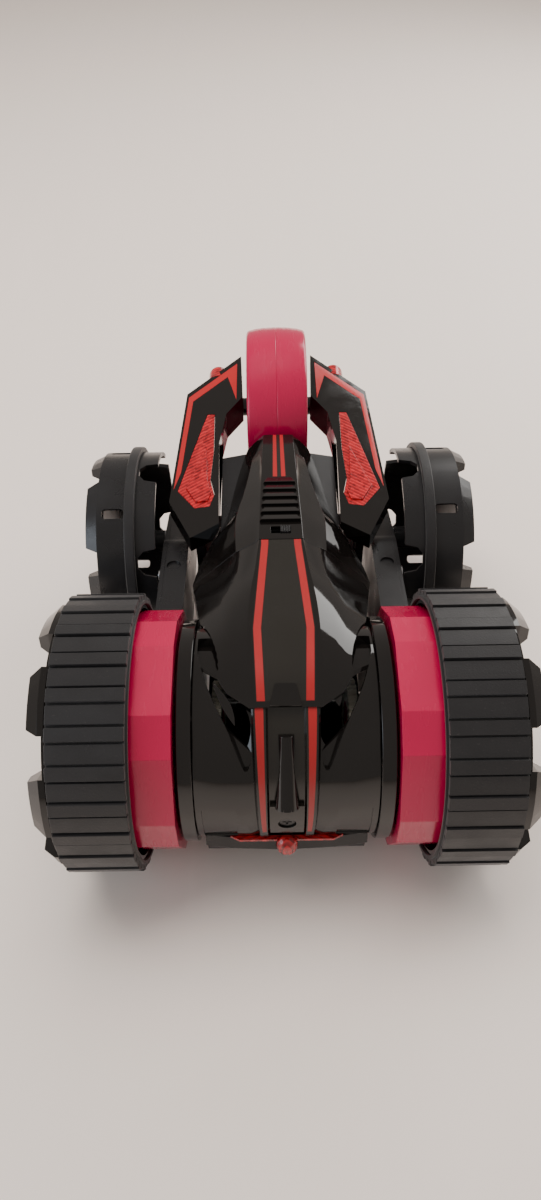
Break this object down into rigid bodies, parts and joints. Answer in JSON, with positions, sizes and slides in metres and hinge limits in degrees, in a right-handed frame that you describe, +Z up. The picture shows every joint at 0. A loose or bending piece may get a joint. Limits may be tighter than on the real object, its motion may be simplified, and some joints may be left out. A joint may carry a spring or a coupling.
{
  "type": "rc stunt car",
  "caption": "Toy radio-controlled stunt car: two large front wheels, two rear wheels on geared swing arms, a red tail wheel between fairings, faceted black body.",
  "frame": {"origin": "middle of the footprint, on the floor under the wheels", "axes": "+Z up, the nose and the large wheels towards -Y, the tail wheel towards +Y, +X to the left side of the car"},
  "size_m": [0.1992, 0.3001, 0.1345],
  "materials": {
    "gloss_black": "piano black, high gloss",
    "satin_black": "black, fine moulded satin",
    "rubber": "black soft rubber, matt",
    "red_plastic": "crimson, glossy",
    "red_lens": "clear red, faceted inside",
    "nylon": "natural nylon",
    "brass": "turned",
    "steel": "zinc plated",
    "motor_can": "plated steel can",
    "battery_wrap": "shrink wrap",
    "circuit_green": "solder mask"
  },
  "bodies": {
    "chassis": {"battery_cells": "battery_wrap", "battery_door": "satin_black", "bearing_discs": "gloss_black", "body_screws": "satin_black", "canopy_front": "gloss_black", "canopy_rear": "gloss_black", "chassis": "satin_black", "circuit_board": "circuit_green", "deck_spine": "gloss_black", "dome_lamps": "red_lens", "front_bumper": "satin_black", "front_deck": "gloss_black", "left_tail_fairing": "gloss_black", "nose_lamp": "red_lens", "right_tail_fairing": "gloss_black", "swing_motor": "motor_can", "switch_body": "satin_black", "tail_axle": "steel", "tail_lamps": "red_lens"},
    "switch_knob": {"switch_knob": "satin_black"},
    "tail_wheel": {"tail_wheel": "red_plastic"},
    "swing_shaft": {"swing_shaft": "steel"},
    "left_arm": {"left_arm_shell": "satin_black", "left_arm_cover": "satin_black", "left_arm_screws": "steel", "left_swing_drum": "red_plastic", "left_drum_cover": "gloss_black", "left_drive_motor": "motor_can", "left_swing_gear": "nylon"},
    "left_front_wheel": {"left_front_tyre": "rubber", "left_front_hub": "gloss_black", "left_front_shaft": "steel", "left_drive_gear": "nylon", "left_final_gear": "nylon"},
    "left_rear_wheel": {"left_rear_wheel": "satin_black", "left_rear_band": "rubber", "left_rear_shaft": "steel"},
    "left_idler_1": {"left_idler_gear_1": "nylon"},
    "left_idler_2": {"left_idler_gear_2": "nylon"},
    "left_idler_3": {"left_idler_gear_3": "nylon"},
    "left_motor_pinion": {"left_motor_pinion": "brass"},
    "right_arm": {"right_arm_shell": "satin_black", "right_arm_cover": "satin_black", "right_arm_screws": "steel", "right_swing_drum": "red_plastic", "right_drum_cover": "gloss_black", "right_drive_motor": "motor_can", "right_swing_gear": "nylon"},
    "right_front_wheel": {"right_front_tyre": "rubber", "right_front_hub": "gloss_black", "right_front_shaft": "steel", "right_drive_gear": "nylon", "right_final_gear": "nylon"},
    "right_rear_wheel": {"right_rear_wheel": "satin_black", "right_rear_band": "rubber", "right_rear_shaft": "steel"},
    "right_idler_1": {"right_idler_gear_1": "nylon"},
    "right_idler_2": {"right_idler_gear_2": "nylon"},
    "right_idler_3": {"right_idler_gear_3": "nylon"},
    "right_motor_pinion": {"right_motor_pinion": "brass"}
  },
  "joints": [
    {"name": "power_switch_slide", "type": "slide", "parent": "chassis", "child": "switch_knob", "axis": [1, 0, 0], "range_m": [-0.004, 0]},
    {"name": "tail_wheel_spin", "type": "hinge", "parent": "chassis", "child": "tail_wheel", "pos_m": [0, 0.107, 0.0915], "axis": [1, 0, 0], "continuous": true},
    {"name": "left_arm_swing", "type": "hinge", "parent": "chassis", "child": "left_arm", "pos_m": [0.045, -0.09, 0.06], "axis": [1, 0, 0], "range_deg": [-190, 1]},
    {"name": "left_front_wheel_spin", "type": "hinge", "parent": "left_arm", "child": "left_front_wheel", "pos_m": [0.076, -0.09, 0.06], "axis": [1, 0, 0], "continuous": true},
    {"name": "left_rear_wheel_spin", "type": "hinge", "parent": "left_arm", "child": "left_rear_wheel", "pos_m": [0.076, 0.03971, 0.0513], "axis": [1, 0, 0], "continuous": true},
    {"name": "left_idler_1_spin", "type": "hinge", "parent": "left_arm", "child": "left_idler_1", "pos_m": [0.053, -0.05857, 0.05789], "axis": [1, 0, 0], "continuous": true},
    {"name": "left_idler_2_spin", "type": "hinge", "parent": "left_arm", "child": "left_idler_2", "pos_m": [0.053, -0.02415, 0.05558], "axis": [1, 0, 0], "continuous": true},
    {"name": "left_idler_3_spin", "type": "hinge", "parent": "left_arm", "child": "left_idler_3", "pos_m": [0.053, 0.01027, 0.05327], "axis": [1, 0, 0], "continuous": true},
    {"name": "left_motor_pinion_spin", "type": "hinge", "parent": "left_arm", "child": "left_motor_pinion", "pos_m": [0.06, -0.08799, 0.08993], "axis": [1, 0, 0], "continuous": true},
    {"name": "right_arm_swing", "type": "hinge", "parent": "chassis", "child": "right_arm", "pos_m": [-0.045, -0.09, 0.06], "axis": [1, 0, 0], "range_deg": [-190, 1]},
    {"name": "right_front_wheel_spin", "type": "hinge", "parent": "right_arm", "child": "right_front_wheel", "pos_m": [-0.076, -0.09, 0.06], "axis": [1, 0, 0], "continuous": true},
    {"name": "right_rear_wheel_spin", "type": "hinge", "parent": "right_arm", "child": "right_rear_wheel", "pos_m": [-0.076, 0.03971, 0.0513], "axis": [1, 0, 0], "continuous": true},
    {"name": "right_idler_1_spin", "type": "hinge", "parent": "right_arm", "child": "right_idler_1", "pos_m": [-0.053, -0.05857, 0.05789], "axis": [1, 0, 0], "continuous": true},
    {"name": "right_idler_2_spin", "type": "hinge", "parent": "right_arm", "child": "right_idler_2", "pos_m": [-0.053, -0.02415, 0.05558], "axis": [1, 0, 0], "continuous": true},
    {"name": "right_idler_3_spin", "type": "hinge", "parent": "right_arm", "child": "right_idler_3", "pos_m": [-0.053, 0.01027, 0.05327], "axis": [1, 0, 0], "continuous": true},
    {"name": "right_motor_pinion_spin", "type": "hinge", "parent": "right_arm", "child": "right_motor_pinion", "pos_m": [-0.06, -0.08799, 0.08993], "axis": [1, 0, 0], "continuous": true},
    {"name": "swing_shaft_spin", "type": "hinge", "parent": "chassis", "child": "swing_shaft", "pos_m": [0, -0.06662, 0.0465], "axis": [1, 0, 0], "range_deg": [-3.86, 543.86]}
  ],
  "couplings": [
    {"joint": "left_rear_wheel_spin", "follows": "left_front_wheel_spin", "ratio": 1.1667},
    {"joint": "left_idler_1_spin", "follows": "left_front_wheel_spin", "ratio": -0.8},
    {"joint": "left_idler_2_spin", "follows": "left_front_wheel_spin", "ratio": 0.82353},
    {"joint": "left_idler_3_spin", "follows": "left_front_wheel_spin", "ratio": -0.8},
    {"joint": "left_motor_pinion_spin", "follows": "left_front_wheel_spin", "ratio": -6.5},
    {"joint": "right_arm_swing", "follows": "left_arm_swing", "ratio": 1},
    {"joint": "right_rear_wheel_spin", "follows": "right_front_wheel_spin", "ratio": 1.1667},
    {"joint": "right_idler_1_spin", "follows": "right_front_wheel_spin", "ratio": -0.8},
    {"joint": "right_idler_2_spin", "follows": "right_front_wheel_spin", "ratio": 0.82353},
    {"joint": "right_idler_3_spin", "follows": "right_front_wheel_spin", "ratio": -0.8},
    {"joint": "right_motor_pinion_spin", "follows": "right_front_wheel_spin", "ratio": -6.5},
    {"joint": "swing_shaft_spin", "follows": "left_arm_swing", "ratio": -2.8571}
  ]
}
